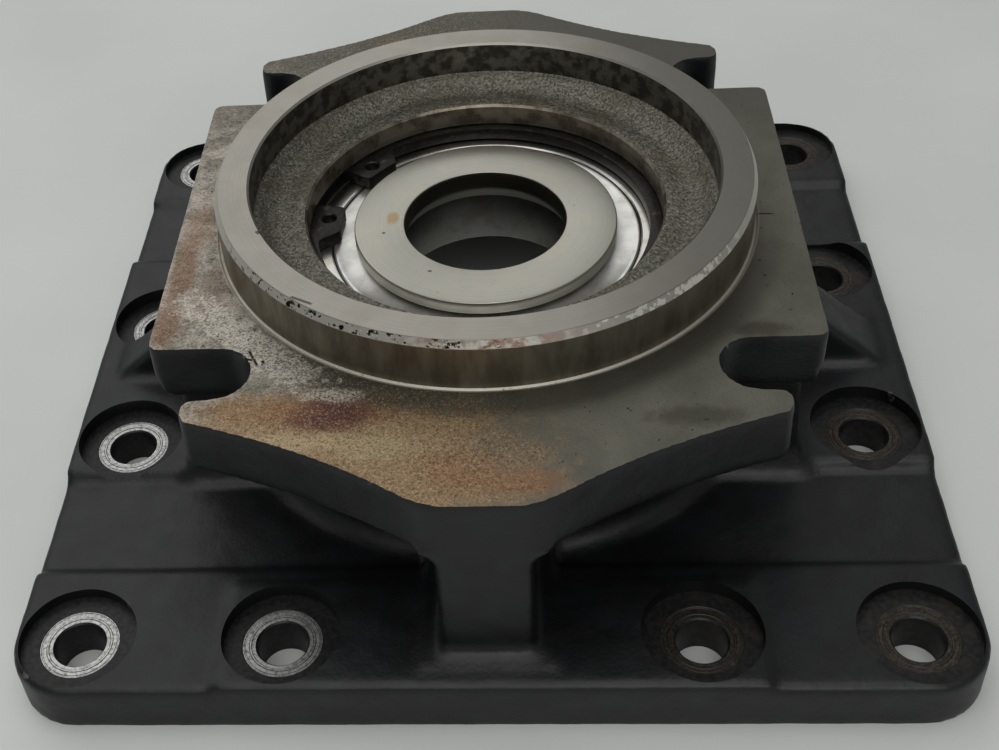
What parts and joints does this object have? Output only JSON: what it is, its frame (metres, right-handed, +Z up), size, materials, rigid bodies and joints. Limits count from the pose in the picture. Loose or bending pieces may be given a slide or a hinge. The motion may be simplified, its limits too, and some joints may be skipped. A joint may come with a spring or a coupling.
{
  "type": "flange mount bearing",
  "caption": "Square-base cast bearing housing with a slotted top flange and pilot ring, holding a shielded ball bearing, retaining ring and turning shaft collar.",
  "frame": {"origin": "centre of the base's underside, on the shaft's axis", "axes": "+Z up along the shaft's axis, out of the pilot ring; +X to the right and +Y to the back, along the sides of the square base, with the flange's two lobes at the front and the back"},
  "size_m": [0.2084, 0.2084, 0.072],
  "materials": {
    "cast_iron": "satin black paint over rough cast iron, worn to bare metal on machined faces",
    "bearing_rings": "ground",
    "bearing_balls": "polished",
    "bearing_cage": "pressed sheet",
    "bearing_shields": "pressed sheet, stained",
    "retaining_ring": "phosphated spring steel, satin",
    "shaft_collar": "fine turned"
  },
  "bodies": {
    "housing": {"flange_housing": "cast_iron", "bearing_outer_ring": "bearing_rings", "bearing_shield_upper": "bearing_shields", "bearing_shield_lower": "bearing_shields", "bore_circlip": "retaining_ring"},
    "hub": {"bearing_inner_ring": "bearing_rings", "shaft_collar": "shaft_collar"},
    "ball_set": {"bearing_cage_upper": "bearing_cage", "bearing_cage_lower": "bearing_cage", "bearing_ball_01": "bearing_balls", "bearing_ball_02": "bearing_balls", "bearing_ball_03": "bearing_balls", "bearing_ball_04": "bearing_balls", "bearing_ball_05": "bearing_balls", "bearing_ball_06": "bearing_balls", "bearing_ball_07": "bearing_balls", "bearing_ball_08": "bearing_balls", "bearing_ball_09": "bearing_balls", "cage_rivet_01": "bearing_cage", "cage_rivet_02": "bearing_cage", "cage_rivet_03": "bearing_cage", "cage_rivet_04": "bearing_cage", "cage_rivet_05": "bearing_cage", "cage_rivet_06": "bearing_cage", "cage_rivet_07": "bearing_cage", "cage_rivet_08": "bearing_cage", "cage_rivet_09": "bearing_cage"}
  },
  "joints": [
    {"name": "hub_spin", "type": "hinge", "parent": "housing", "child": "hub", "pos_m": [0, 0, 0.042], "axis": [0, 0, 1], "continuous": true},
    {"name": "ball_set_spin", "type": "hinge", "parent": "housing", "child": "ball_set", "pos_m": [0, 0, 0.042], "axis": [0, 0, 1], "continuous": true}
  ],
  "couplings": [
    {"joint": "ball_set_spin", "follows": "hub_spin", "ratio": 0.4023}
  ]
}
